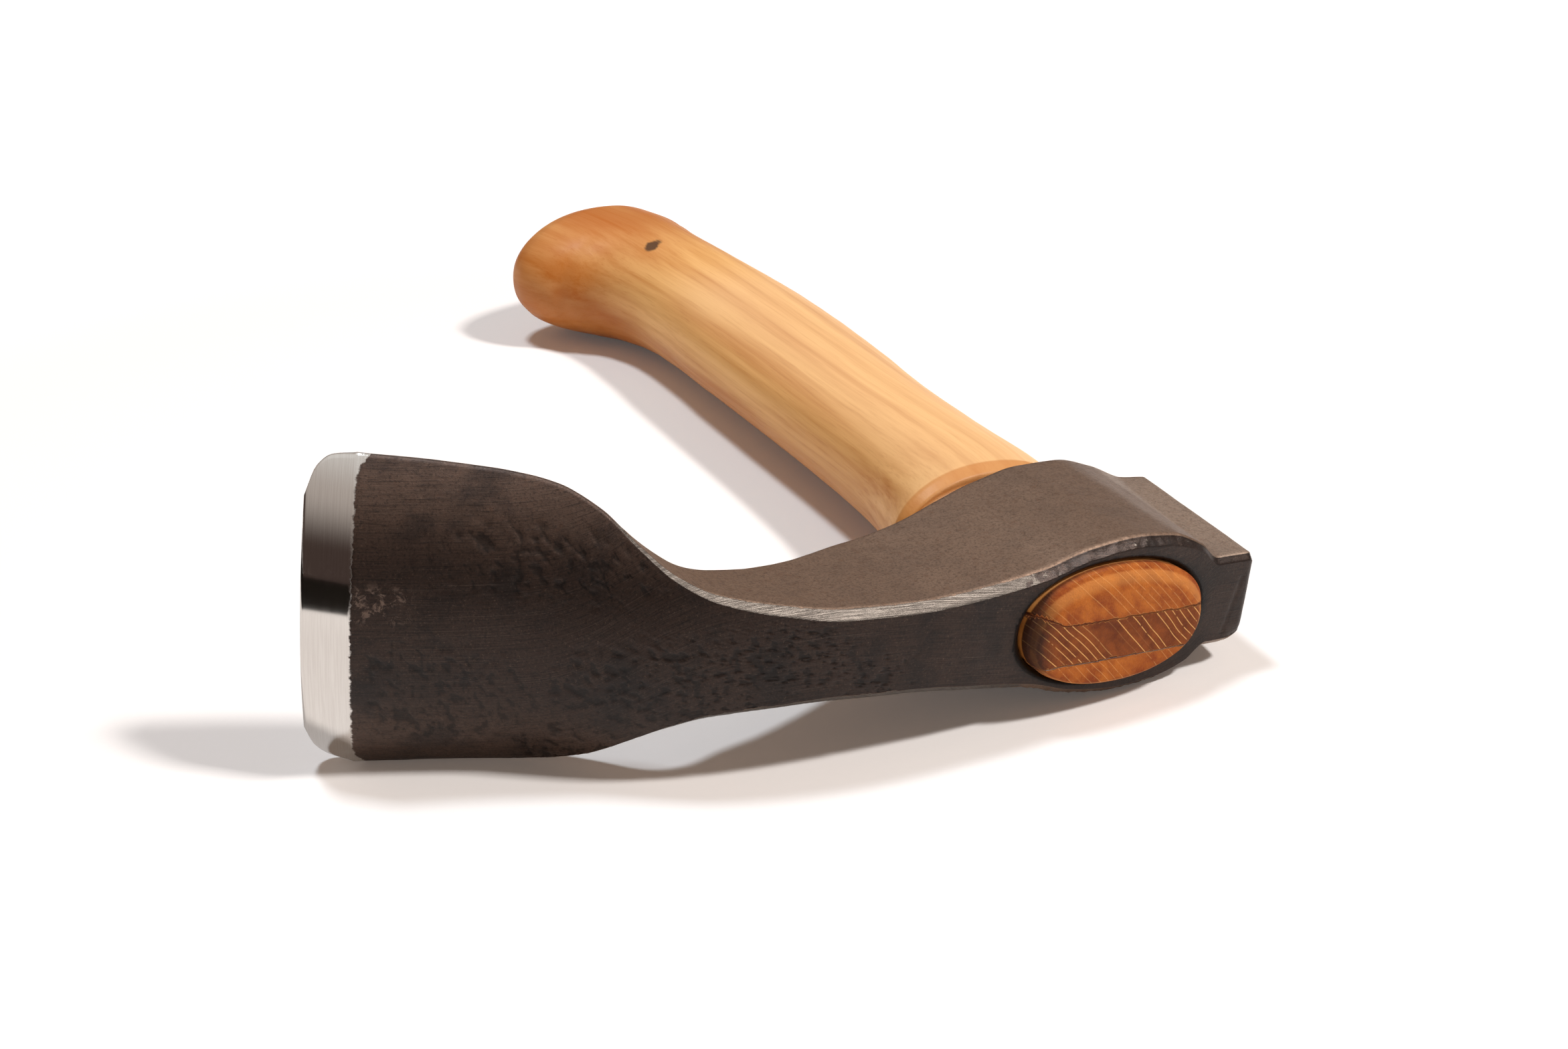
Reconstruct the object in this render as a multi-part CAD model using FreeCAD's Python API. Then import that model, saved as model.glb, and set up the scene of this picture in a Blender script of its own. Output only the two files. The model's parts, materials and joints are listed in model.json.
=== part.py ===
import FreeCAD, Part
import math
import os
from collections import namedtuple
from FreeCAD import Vector

# Short-handled hand adze with a shallow gouge blade, lying on its side.
#
# Three pieces: a forged head, a wooden handle whose tongue fills the head's oval eye,
# and a wooden wedge driven into the tongue's slot. Sizes are in millimetres.
#
# The tool is drawn in its own frame first: x runs along the head from the cutting edge
# (negative) to the poll (positive), y along the handle from the eye's front face to the
# grip end, z across the tool, with z = 0 its plane of symmetry. At the end it is tipped
# the few degrees that it leans at rest, and dropped onto the floor.

os.makedirs("parts", exist_ok=True)

# ---- Driving dimensions: head ----
reach = 133.0               # handle's centre line to the heel of the bevel
blade_drop = 37.5           # how far the heel lies behind the front face of the eye
blade_lean = 23.5           # degrees that the blade turns in toward the handle
blade_width = 58.0          # across the blade at the heel of the bevel
blade_side_slope = 2.1      # how much narrower each side is on the blade's hollow face
blade_thickness = 3.4       # at the heel of the bevel
gouge_radius = 46.0         # outside radius of the blade's hollow
bevel_length = 8.4          # ground bevel, heel to cutting edge
edge_land = 0.3             # thickness left at the cutting edge
edge_corner = 7.5           # how far each corner of the edge is rounded back
neck_width = 18.0           # across the narrowest part of the neck
head_depth = 42.5           # front face to back face at the eye
cheek_wall = 4.3            # beside the eye, at the front face
cheek_wall_back = 4.6       # beside the eye, at the back face
valley_wall = 4.0           # end of the eye to the valley in front of the poll
poll_length = 9.0           # valley to the poll's face, at the front
poll_width = 18.8           # across the poll at the front
poll_spread = 0.8           # how much wider each side is at the back
poll_lean = 7.0             # degrees that the poll's face leans, its back end outward
chamfer_width = 1.7         # file chamfer along the neck and the eye
poll_chamfer = 0.7          # along the poll
blade_chamfer = 0.3         # along the blade

# ---- Driving dimensions: eye, handle and wedge ----
eye_length = 41.0           # long axis of the oval at the front face
eye_width = 23.6            # short axis of the oval at the front face
eye_taper = 1.0             # how much less both axes are at the back face
eye_clearance = 0.05        # between the tongue and the eye, all round
tongue_proud = 2.6          # tongue's end beyond the front face
tongue_chamfer = 1.8        # chamfer round the tongue's end
shoulder_ends = 2.3         # shoulder's overhang past the eye, along the oval
shoulder_sides = 3.3        # and across it
shoulder_height = 2.8       # chamfered step behind the head
shoulder_chamfer = 1.1      # how far the step slopes in
handle_length = 258.0       # front face of the eye to the grip's end
handle_bow = 18.0           # how far the grip's centre line stands toward the poll
waist_length = 36.6         # long axis where the grip is slimmest
waist_width = 26.6
belly_length = 42.4         # long axis where the hand closes
belly_width = 27.8
grip_end_length = 57.4      # long axis of the swelled end
grip_end_width = 34.4
grip_end_round = 12.0       # how far the swelled end rounds over
grip_end_turn = 18.0        # degrees that the end faces toward the blade
grip_twist = 3.0            # degrees that the carved grip is twisted by its end

wedge_thickness = 8.2       # at the tongue's end
wedge_offset = -2.2         # how far the slot stands off the tongue's middle
wedge_tip = 1.6             # at the bottom of the slot
wedge_depth = 34.0          # how deep the wedge goes below the front face
wedge_clearance = 0.05      # between the wedge and each side of its slot

# ---- How finely curves are drawn ----
oval_power = 2.15           # 2 is an ellipse; above 2 the sides are flatter
oval_points = 24
station_spacing = 2.5       # between the sections that the head is drawn through
past = 10.0                 # how far a cutting shape runs beyond what it cuts


# ---- Outlines ----

def oval(x, y, lean, long_axis, short_axis, twist=0):
    """Closed oval wire across the handle, centred on (x, y, 0).

    Its long axis is turned by lean degrees in the tool's plane, then twisted out of it.
    """
    flat = Vector(math.cos(math.radians(lean)), math.sin(math.radians(lean)), 0)
    up = Vector(0, 0, 1)
    turn = math.radians(twist)
    long_way = flat * math.cos(turn) + up * math.sin(turn)
    short_way = up * math.cos(turn) - flat * math.sin(turn)
    points = []
    for step in range(oval_points):
        angle = 2 * math.pi * step / oval_points
        c = math.cos(angle)
        s = math.sin(angle)
        u = math.copysign(abs(c) ** (2 / oval_power), c) * long_axis / 2
        v = math.copysign(abs(s) ** (2 / oval_power), s) * short_axis / 2
        points.append(Vector(x, y, 0) + long_way * u + short_way * v)
    curve = Part.BSplineCurve()
    curve.interpolate(points, PeriodicFlag=True)
    return Part.Wire(curve.toShape())


Station = namedtuple("Station", "x y lean half half_back depth gouge chamfer")


def bowed_edge(start, middle, end):
    """Arc through three points, or a straight edge where they are in line."""
    if (middle - (start + end) / 2).Length < 0.001:
        return Part.makeLine(start, end)
    return Part.Arc(start, middle, end).toShape()


def head_section(s):
    """Closed wire across the head: x, y is the middle of its front face.

    The section's own axes are u, into the head from the front face and turned by the
    station's lean, and z. The front edge is an arc, deep where the blade is a gouge. The
    back edge follows it on the blade, and has a slight crown where the gouge has faded out.
    """
    into = Vector(math.sin(math.radians(s.lean)), math.cos(math.radians(s.lean)), 0)

    def at(u, z):
        return Vector(s.x, s.y, 0) + into * u + Vector(0, 0, z)

    def front_bow(z):
        return s.gouge * (gouge_radius - math.sqrt(gouge_radius ** 2 - z ** 2))

    side_u = math.sqrt(s.depth ** 2 - (s.half - s.half_back) ** 2)
    front_u = front_bow(s.half)
    back_u = side_u + front_u * (2 * s.gouge - 1)
    share = s.chamfer / s.depth
    z_drop = s.half - s.half_back
    back_inner = s.half_back - s.chamfer
    back_inner_u = s.depth + (back_u - s.depth) * (back_inner / s.half_back) ** 2
    corners = [
        (front_bow(s.half - s.chamfer), s.half - s.chamfer),
        (front_u + side_u * share, s.half - z_drop * share),
        (back_u - side_u * share, s.half_back + z_drop * share),
        (back_inner_u, back_inner),
    ]
    upper = [at(u, z) for u, z in corners]
    lower = [at(u, -z) for u, z in corners]
    edges = [Part.makeLine(a, b) for a, b in zip(upper, upper[1:])]
    edges.append(bowed_edge(upper[3], at(s.depth, 0), lower[3]))
    edges += [Part.makeLine(a, b) for a, b in zip(lower[::-1], lower[-2::-1])]
    edges.append(bowed_edge(lower[0], at(0, 0), upper[0]))
    return Part.Wire(edges)


# ---- Head ----

def between(start, end, share):
    return start + (end - start) * share


blade = blade_width / 2
neck = neck_width / 2
poll = poll_width / 2
cheek = eye_width / 2 + cheek_wall
cheek_back = (eye_width - eye_taper) / 2 + cheek_wall_back
eye_end = eye_length / 2
blade_root = -reach + 47
neck_end = -eye_end - 9.5
valley = eye_end + valley_wall
poll_reach = valley + poll_length


def blade_station(x, drop, lean, width, slope, depth, gouge, chamfer):
    """A section of the blade or neck, where drop, width, slope and depth are shares.

    Width goes from the neck's to the blade's, depth from the blade's to the eye's.
    """
    half = between(neck, blade, width)
    return Station(x, blade_drop * drop, lean, half, half - blade_side_slope * slope,
                   between(blade_thickness, head_depth, depth), gouge,
                   between(blade_chamfer, chamfer_width, chamfer))


heel = blade_station(-reach, 1, blade_lean, 1, 1, 0, 1, 0)


def head_stations():
    """Sections from the heel of the bevel, along blade and neck, to the poll."""
    c = chamfer_width
    return [
        heel,
        blade_station(-reach + 10.7, 0.877, blade_lean + 0.5, 0.98, 1.04, 0.005, 1, 0),
        blade_station(-reach + 21, 0.747, blade_lean + 2.5, 0.945, 1.14, 0.012, 1, 0),
        blade_station(-reach + 29, 0.635, blade_lean + 5.5, 0.88, 1.14, 0.018, 1, 0),
        blade_station(-reach + 35.5, 0.515, blade_lean + 7.5, 0.73, 1.1, 0.03, 1, 0.07),
        blade_station(-reach + 41.5, 0.397, blade_lean + 6.5, 0.485, 0.85, 0.055, 1, 0.2),
        blade_station(blade_root, 0.301, blade_lean + 2.5, 0.285, 0.6, 0.13, 1, 0.35),
        blade_station(between(blade_root, neck_end, 0.125), 0.219, 19, 0.14, 0.4, 0.28, 0.9, 0.6),
        blade_station(between(blade_root, neck_end, 0.304), 0.133, 13, 0.055, 0.2, 0.415, 0.7, 0.85),
        blade_station(between(blade_root, neck_end, 0.518), 0.061, 8, 0, 0, 0.565, 0.5, 1),
        blade_station(between(blade_root, neck_end, 0.75), 0.021, 4, 0.005, 0, 0.688, 0.4, 1),
        Station(neck_end, 0, 0, between(neck, cheek, 0.18), between(neck, cheek_back, 0.21),
                head_depth - 9.2, 0.3, c),
        Station(-0.83 * eye_end, 0, 0, between(neck, cheek, 0.44), between(neck, cheek_back, 0.48),
                head_depth - 4.8, 0.2, c),
        Station(-0.34 * eye_end, 0, 0, cheek - 1.2, cheek_back - 2.3, head_depth - 1.5, 0.1, c),
        Station(0.2 * eye_end, 0, 0, cheek, cheek_back - 0.3, head_depth - 0.5, 0.1, c),
        Station(0.63 * eye_end, 0, 2, cheek - 0.7, cheek_back - 0.2, head_depth, 0.1, c),
        Station(0.975 * eye_end, 0, 6, between(poll, cheek, 0.48), between(poll, cheek_back, 0.58),
                head_depth, 0.1, 0.7 * c),
        Station(valley, 0, poll_lean + 3, poll, poll + poll_spread + 0.2,
                head_depth - 0.4, 0.1, poll_chamfer),
        Station(between(valley, poll_reach, 0.39), 0, poll_lean + 2, poll, poll + poll_spread,
                head_depth - 0.8, 0.1, poll_chamfer),
        Station(between(valley, poll_reach, 0.72), 0, poll_lean + 1, poll, poll + poll_spread,
                head_depth - 1.3, 0.1, poll_chamfer),
        Station(poll_reach, 0, poll_lean, poll, poll + poll_spread, head_depth - 2, 0.1, poll_chamfer),
    ]


def filled_in(stations, spacing):
    """The stations with more between them, on smooth curves that don't overshoot."""
    steps = [math.hypot(b.x - a.x, b.y - a.y) for a, b in zip(stations, stations[1:])]
    slopes = []
    for column in zip(*stations):
        rises = [(b - a) / step for a, b, step in zip(column, column[1:], steps)]
        inner = [2 * p * q / (p + q) if p * q > 0 else 0.0 for p, q in zip(rises, rises[1:])]
        slopes.append([rises[0]] + inner + [rises[-1]])
    result = []
    for i, step in enumerate(steps):
        count = max(1, round(step / spacing))
        for k in range(count):
            t = k / count
            values = []
            for column, slope in zip(zip(*stations), slopes):
                start = column[i] * (1 + 2 * t) * (1 - t) ** 2 + slope[i] * step * t * (1 - t) ** 2
                end = column[i + 1] * t * t * (3 - 2 * t) - slope[i + 1] * step * t * t * (1 - t)
                values.append(start + end)
            result.append(Station(*values))
    return result + [stations[-1]]


def bevel_stations():
    """Sections down the ground bevel. The inner face runs on straight; the outer is cut away."""
    lean = math.radians(heel.lean)
    into = Vector(math.sin(lean), math.cos(lean), 0)
    along = Vector(-math.cos(lean), math.sin(lean), 0)
    stations = [heel]
    for share, rounding in ((0.5, 0.12), (0.8, 0.4), (1.0, 1.0)):
        depth = between(blade_thickness, edge_land, share)
        front = Vector(heel.x, heel.y, 0)
        front = front + along * (bevel_length * share) + into * (blade_thickness - depth)
        half = heel.half - edge_corner * rounding
        slope = blade_side_slope * depth / blade_thickness
        stations.append(Station(front.x, front.y, heel.lean, half, half - slope, depth, 1, depth / 8))
    return stations


def eye_wire(y, clearance):
    """Oval of the eye, or with no clearance of the tongue, at a height y in the head."""
    shrink = eye_taper * y / head_depth
    return oval(0, y, 0, eye_length - shrink + 2 * clearance, eye_width - shrink + 2 * clearance)


def make_head():
    stations = filled_in(head_stations(), station_spacing)
    body = Part.makeLoft([head_section(s) for s in stations], True, True)
    bevel = Part.makeLoft([head_section(s) for s in bevel_stations()], True, True)
    front = -past
    back = head_depth + past
    eye = Part.makeLoft([eye_wire(front, eye_clearance), eye_wire(back, eye_clearance)], True, True)
    return body.fuse(bevel).cut(eye).removeSplitter()


# ---- Handle ----

def grip_wires(collar_y, swell):
    """Ovals from just behind the shoulder to the swelled end.

    Each row: share of the way, share of the bow, lean, long axis, short axis.
    """
    rows = [
        (0.065, 0.33, 0, waist_length + 3.4, waist_width + 1.8),
        (0.165, 0.48, 0, waist_length, waist_width + 0.8),
        (0.29, 0.62, 0, waist_length + 0.8, waist_width),
        (0.44, 0.81, 0, belly_length - 1.4, belly_width - 1.0),
        (0.59, 0.945, 0, belly_length, belly_width),
        (0.715, 1.0, 0, belly_length - 1.8, belly_width + 1.4),
        (0.80, 0.975, 4, belly_length - 3.2, belly_width + 2.6),
        (0.875, 0.87, 10, belly_length - 1.4, belly_width + 4.4),
        (0.94, 0.69, 15, grip_end_length - 7.2, grip_end_width - 0.6),
    ]
    run = swell.y - collar_y
    return [oval(handle_bow * bow, collar_y + run * share, lean, long_axis, short_axis, grip_twist * share)
            for share, bow, lean, long_axis, short_axis in rows]


def make_handle():
    """Tongue, chamfered shoulder, grip and rounded end."""
    rim = -tongue_proud + tongue_chamfer
    tongue_face = oval(0, -tongue_proud, 0, eye_length - 2 * tongue_chamfer, eye_width - 2 * tongue_chamfer)
    seat = head_depth + eye_clearance
    tongue_end = Part.makeLoft([tongue_face, eye_wire(rim, 0)], True, True)
    tongue = Part.makeLoft([eye_wire(rim, 0), eye_wire(seat, 0)], True, True)

    collar_y = seat + shoulder_height
    collar_length = eye_length - eye_taper + 2 * shoulder_ends
    collar_width = eye_width - eye_taper + 2 * shoulder_sides
    step = oval(handle_bow * 0.10, seat, 0, collar_length - 2 * shoulder_chamfer,
                collar_width - 2 * shoulder_chamfer)
    collar = oval(handle_bow * 0.12, collar_y, 0, collar_length, collar_width)
    shoulder = Part.makeLoft([step, collar], True, True)

    # The end is square to the centre line, which has turned toward the blade by then.
    turn = math.radians(grip_end_turn)
    along = Vector(-math.sin(turn), math.cos(turn), 0)
    swell = Vector(handle_bow * 0.22, handle_length, 0) - along * grip_end_round
    rings = []
    for share, inset in ((0, 0), (0.35, 0.6), (0.62, 2.2), (0.84, 5.2), (1.0, 10.0)):
        middle = swell + along * (grip_end_round * share)
        rings.append(oval(middle.x, middle.y, grip_end_turn, grip_end_length - 2 * inset,
                          grip_end_width - 2 * inset, grip_twist))
    grip = Part.makeLoft([collar] + grip_wires(collar_y, swell) + [rings[0]], True, False)
    end = Part.makeLoft(rings, True, True)
    return tongue_end.multiFuse([tongue, shoulder, grip, end]).removeSplitter()


def make_wedge(clearance=0.0):
    """Tapered blade of wood along the oval's long axis, trimmed to the tongue's outline."""
    top = -tongue_proud - past
    slope = (wedge_thickness - wedge_tip) / (tongue_proud + wedge_depth)
    half_top = wedge_thickness / 2 + slope / 2 * (-tongue_proud - top) + clearance
    half_tip = wedge_tip / 2 + clearance
    tip = wedge_depth + clearance
    corners = [(top, -half_top), (top, half_top), (tip, half_tip), (tip, -half_tip), (top, -half_top)]
    outline = Part.makePolygon([Vector(-eye_length, y, wedge_offset + z) for y, z in corners])
    return Part.Face(outline).extrude(Vector(2 * eye_length, 0, 0))


# ---- Assembly at rest ----

def lean_angles():
    """How far the tool tips about y and about x, lying on blade, cheek and grip end."""
    blade_x = -reach + 26
    blade_half = blade - 1.5
    cheek_x = 0.44 * eye_end
    cheek_y = head_depth / 2
    cheek_half = (cheek + cheek_back) / 2
    grip_y = handle_length - grip_end_round
    grip_half = grip_end_width / 2
    tip = math.atan2(blade_half - cheek_half, cheek_x - blade_x)
    nod = math.atan2(grip_half - cheek_half, grip_y - cheek_y)
    return tip, nod


def place(shapes):
    tip, nod = lean_angles()
    placed = []
    for shape in shapes:
        turned = shape.copy()
        turned.rotate(Vector(0, 0, 0), Vector(0, 1, 0), math.degrees(tip))
        turned.rotate(Vector(0, 0, 0), Vector(1, 0, 0), math.degrees(nod))
        placed.append(turned)
    box = Part.makeCompound(placed).optimalBoundingBox(False, False)
    base = Vector(-box.Center.x, -box.Center.y, -box.ZMin)
    for shape in placed:
        shape.translate(base)
    return placed


whole_handle = make_handle()
slot = make_wedge(wedge_clearance)
head = make_head()
handle = whole_handle.cut(slot)
wedge = make_wedge().common(whole_handle)

for name, shape in zip(("adze_head", "handle", "wedge"), place([head, handle, wedge])):
    solids = shape.Solids
    print(name, "solids", len(solids), "valid", shape.isValid(), "volume", round(shape.Volume))
    box = shape.optimalBoundingBox(False, False)
    print("   from", round(box.XMin, 1), round(box.YMin, 1), round(box.ZMin, 1),
          "to", round(box.XMax, 1), round(box.YMax, 1), round(box.ZMax, 1))
    solids[0].exportStep("parts/" + name + ".step")
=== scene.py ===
# %% [markdown]
# # A hand adze, lying on its side
#
# The tool is a forged gouge adze: a steel head with a hollow blade, a short wooden handle whose
# tongue fills the head's eye, and a wooden wedge that spreads the tongue. The construction
# model gives the sizes. This lesson gives the looks: a black forged skin, a polished bevel,
# filed chamfers, oiled wood and sawn end grain.
#
# The first cell loads the construction model as a fixed frame and keeps its box, because
# nothing made here may stand outside it.

# %% Load the frame
import json
import math
import bmesh
import bpy
import numpy as np
from mathutils import Matrix, Vector, noise


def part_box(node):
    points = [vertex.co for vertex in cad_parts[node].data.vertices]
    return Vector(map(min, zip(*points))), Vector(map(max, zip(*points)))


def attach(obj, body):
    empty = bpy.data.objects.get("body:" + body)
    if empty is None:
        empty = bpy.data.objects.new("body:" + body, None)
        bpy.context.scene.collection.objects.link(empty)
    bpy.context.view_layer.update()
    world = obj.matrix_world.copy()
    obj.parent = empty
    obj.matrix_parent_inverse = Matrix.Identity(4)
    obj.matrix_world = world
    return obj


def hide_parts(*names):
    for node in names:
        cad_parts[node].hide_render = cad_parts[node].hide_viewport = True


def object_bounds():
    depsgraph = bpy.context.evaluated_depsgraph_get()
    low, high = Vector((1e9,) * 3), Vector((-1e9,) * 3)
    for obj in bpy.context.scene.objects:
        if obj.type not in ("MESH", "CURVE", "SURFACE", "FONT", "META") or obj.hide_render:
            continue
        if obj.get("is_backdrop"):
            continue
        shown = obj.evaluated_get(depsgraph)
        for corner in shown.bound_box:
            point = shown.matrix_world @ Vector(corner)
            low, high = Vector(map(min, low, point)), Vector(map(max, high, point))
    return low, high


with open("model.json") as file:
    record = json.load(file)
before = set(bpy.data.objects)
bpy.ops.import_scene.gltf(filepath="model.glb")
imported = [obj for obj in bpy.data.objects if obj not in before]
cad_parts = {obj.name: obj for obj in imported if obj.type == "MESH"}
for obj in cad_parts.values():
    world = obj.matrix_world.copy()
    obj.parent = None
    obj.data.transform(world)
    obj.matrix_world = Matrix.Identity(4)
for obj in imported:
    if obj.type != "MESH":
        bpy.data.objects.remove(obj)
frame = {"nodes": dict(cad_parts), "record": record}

cad_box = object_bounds()
for node in sorted(frame["nodes"]):
    low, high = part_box(node)
    print(node, "spans", [round((b - a) * 1000, 1) for a, b in zip(low, high)], "mm")

# %% [markdown]
# ## The tool's own axes
#
# A toolmaker measures from the eye: x along the head toward the poll, y along the handle from
# the eye's front face, z across the tool. At rest the tool leans a few degrees on its blade,
# its cheek and the swelled end of its grip. The lean comes from how wide those are, and the
# place from the one face whose position the frame states, the poll's. Pieces are drawn in the
# tool's axes in millimetres, and one matrix puts them in place: `tip` turns the tool about its
# handle, and `nod` lowers the handle's far end.

# %% Main sizes in millimetres, and the matrix that lays the tool down
reach = 133.0
blade_drop = 37.5
blade_lean = 23.5
blade_width = 58.0
blade_side_slope = 2.1
blade_thickness = 3.4
gouge_radius = 46.0
bevel_length = 8.4
edge_land = 0.3
edge_corner = 7.5
neck_width = 18.0
head_depth = 42.5
eye_length = 41.0
eye_width = 23.6
eye_taper = 1.0
cheek = eye_width / 2 + 4.3
cheek_back = (eye_width - eye_taper) / 2 + 4.6
poll_width = 18.8
poll_spread = 0.8
poll_lean = 7.0
chamfer_width = 1.7
poll_chamfer = 1.3
blade_chamfer = 0.3
handle_length = 258.0
grip_end_round = 12.0
grip_end_width = 34.4

blade = blade_width / 2
neck = neck_width / 2
poll = poll_width / 2
eye_end = eye_length / 2
valley = eye_end + 4.0
poll_reach = valley + 9.0

# Where it rests: a way back from the bevel's heel, on the cheek, and on the grip's end.
blade_rest, blade_rest_half = 26.0, blade - 1.5
cheek_rest, cheek_middle = 0.44 * eye_end, (cheek + cheek_back) / 2
tip = math.atan2(blade_rest_half - cheek_middle, cheek_rest + reach - blade_rest)
nod = math.atan2(grip_end_width / 2 - cheek_middle, handle_length - grip_end_round - head_depth / 2)
lay_down = Matrix.Rotation(nod, 3, "X") @ Matrix.Rotation(tip, 3, "Y")

face_middle = (head_depth - 2) / 2
poll_face = Vector((poll_reach + math.sin(math.radians(poll_lean)) * face_middle,
                    math.cos(math.radians(poll_lean)) * face_middle, 0))
stated_face = Vector(frame["record"]["mounts"][0]["pos_m"]) * 1000
base = stated_face - lay_down @ poll_face
print("tip", round(math.degrees(tip), 2), "nod", round(math.degrees(nod), 2), "degrees; base",
      [round(v, 2) for v in base], "mm")


def placed(points):
    """Tool millimetres to metres in the frame, for an array of points."""
    return (points @ np.array(lay_down).T + np.array(base)) / 1000


# %% [markdown]
# ## Small helpers for shapes
#
# The head is drawn through cross-sections. Between them every number follows a curve that
# never overshoots, so a thin blade can grow into a thick eye without ripples. Noise comes
# from fixed formulas, so each run gives the same surface.

# %% Curves without overshoot, and noise
def smooth_through(places, rows, at):
    """Monotone cubic curves through rows (one per place), read at other places."""
    places = np.asarray(places, float)
    rows = np.asarray(rows, float)
    steps = np.diff(places)
    rises = np.diff(rows, axis=0) / steps[:, None]
    before, after = rises[:-1], rises[1:]
    same_way = before * after > 0
    inner = np.where(same_way, 2 * before * after / np.where(same_way, before + after, 1), 0)
    slopes = np.vstack([rises[:1], inner, rises[-1:]])
    i = np.clip(np.searchsorted(places, at, side="right") - 1, 0, len(steps) - 1)
    t = ((at - places[i]) / steps[i])[:, None]
    h = steps[i][:, None]
    return (rows[i] * (1 + 2 * t) * (1 - t) ** 2 + slopes[i] * h * t * (1 - t) ** 2
            + rows[i + 1] * t * t * (3 - 2 * t) - slopes[i + 1] * h * t * t * (1 - t))


def ramp(values, start, end):
    """0 at start, 1 at end, smooth between."""
    t = np.clip((np.asarray(values, float) - start) / (end - start), 0, 1)
    return t * t * (3 - 2 * t)


def bumps(points, size, seed, octaves=3):
    """Fractal noise of about -1 to 1 at points, with lumps of about the given size."""
    shift = Vector((17.3 * seed, -9.1 * seed, 5.7 * seed))
    return np.array([noise.fractal(Vector(p) / size + shift, 0.8, 2.0, octaves) for p in points])


# %% [markdown]
# Meshes are drawn in tool millimetres and placed as they are made. Values stored on their
# points pass through every cut, so a material can tell one finish from another.

# %% Objects, stored values and cuts
def add_object(name, data):
    """A new object round its data, linked into the scene."""
    piece = bpy.data.objects.new(name, data)
    bpy.context.scene.collection.objects.link(piece)
    return piece


def mesh_object(name, points, faces):
    mesh = bpy.data.meshes.new(name)
    mesh.from_pydata(points, [], faces)
    mesh.validate()
    mesh.update()
    return add_object(name, mesh)


def store(piece, name, values):
    """Keeps one number, or one vector, per vertex for the materials to read."""
    values = np.asarray(values, np.float32)
    kind, field = ("FLOAT_VECTOR", "vector") if values.ndim == 2 else ("FLOAT", "value")
    attribute = piece.data.attributes.new(name, kind, "POINT")
    attribute.data.foreach_set(field, values.ravel())


def apply_modifiers(piece):
    """Turns the evaluated shape into the piece's plain mesh."""
    graph = bpy.context.evaluated_depsgraph_get()
    mesh = bpy.data.meshes.new_from_object(piece.evaluated_get(graph))
    piece.modifiers.clear()
    piece.data = mesh


def cut(piece, tool, how="DIFFERENCE"):
    """Cuts the piece with another closed piece, which is then thrown away."""
    modifier = piece.modifiers.new("cut", "BOOLEAN")
    modifier.operation = how
    modifier.solver = "MANIFOLD"
    modifier.object = tool
    apply_modifiers(piece)
    bpy.data.objects.remove(tool)


# %% [markdown]
# ## The head's sections
#
# The smith draws the blade out thin, hollows it over a swage, and leaves the eye and the poll
# thick. Each row is one cross-section: where its front face stands, how far it leans, its
# half-width in front and behind, its depth, its share of the gouge's curve, and its chamfer. A
# denser set is read off the curves between the rows. The bevel's sections come from its angle:
# the steel thins to the edge, whose corners are rounded off.

# %% Sections from the heel of the bevel to the poll
def between(start, end, share):
    return start + (end - start) * share


def blade_row(x, drop, lean, width, slope, depth, gouge, chamfer):
    """A section of blade or neck. Width, slope, depth and chamfer are shares."""
    half = between(neck, blade, width)
    return (x, blade_drop * drop, lean, half, half - blade_side_slope * slope,
            between(blade_thickness, head_depth, depth), gouge,
            between(blade_chamfer, chamfer_width, chamfer))


blade_root = -reach + 47
neck_end = -eye_end - 9.5
head_rows = [
    blade_row(-reach, 1, blade_lean, 1, 1, 0, 1, 0),
    blade_row(-reach + 10.7, 0.877, blade_lean + 0.5, 0.98, 1.04, 0.005, 1, 0),
    blade_row(-reach + 21, 0.747, blade_lean + 2.5, 0.945, 1.14, 0.012, 1, 0),
    blade_row(-reach + 29, 0.635, blade_lean + 5.5, 0.88, 1.14, 0.018, 1, 0),
    blade_row(-reach + 35.5, 0.515, blade_lean + 7.5, 0.73, 1.1, 0.03, 1, 0.07),
    blade_row(-reach + 41.5, 0.397, blade_lean + 6.5, 0.485, 0.85, 0.055, 1, 0.2),
    blade_row(blade_root, 0.301, blade_lean + 2.5, 0.285, 0.6, 0.13, 1, 0.35),
    blade_row(between(blade_root, neck_end, 0.125), 0.219, 19, 0.14, 0.4, 0.28, 0.9, 0.6),
    blade_row(between(blade_root, neck_end, 0.304), 0.133, 13, 0.055, 0.2, 0.415, 0.7, 0.85),
    blade_row(between(blade_root, neck_end, 0.518), 0.061, 8, 0, 0, 0.565, 0.5, 1),
    blade_row(between(blade_root, neck_end, 0.75), 0.021, 4, 0.005, 0, 0.688, 0.4, 1),
    (neck_end, 0, 0, between(neck, cheek, 0.18), between(neck, cheek_back, 0.21),
     head_depth - 9.2, 0.3, chamfer_width),
    (-0.83 * eye_end, 0, 0, between(neck, cheek, 0.44), between(neck, cheek_back, 0.48),
     head_depth - 4.8, 0.2, chamfer_width),
    (-0.34 * eye_end, 0, 0, cheek - 1.2, cheek_back - 2.3, head_depth - 1.5, 0.1, chamfer_width),
    (0.2 * eye_end, 0, 0, cheek, cheek_back - 0.3, head_depth - 0.5, 0.1, chamfer_width),
    (0.63 * eye_end, 0, 2, cheek - 0.7, cheek_back - 0.2, head_depth, 0.1, chamfer_width),
    (0.975 * eye_end, 0, 6, between(poll, cheek, 0.48), between(poll, cheek_back, 0.58),
     head_depth, 0.1, 1.2),
]
for share, lean, spread, lower in ((0, 3, 0.2, 0.4), (0.39, 2, 0, 0.8), (0.72, 1, 0, 1.3), (1, 0, 0, 2)):
    head_rows.append((between(valley, poll_reach, share), 0, poll_lean + lean, poll,
                      poll + poll_spread + spread, head_depth - lower, 0.1, poll_chamfer))
head_rows = np.array(head_rows)
row_spacing = 0.5
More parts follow.
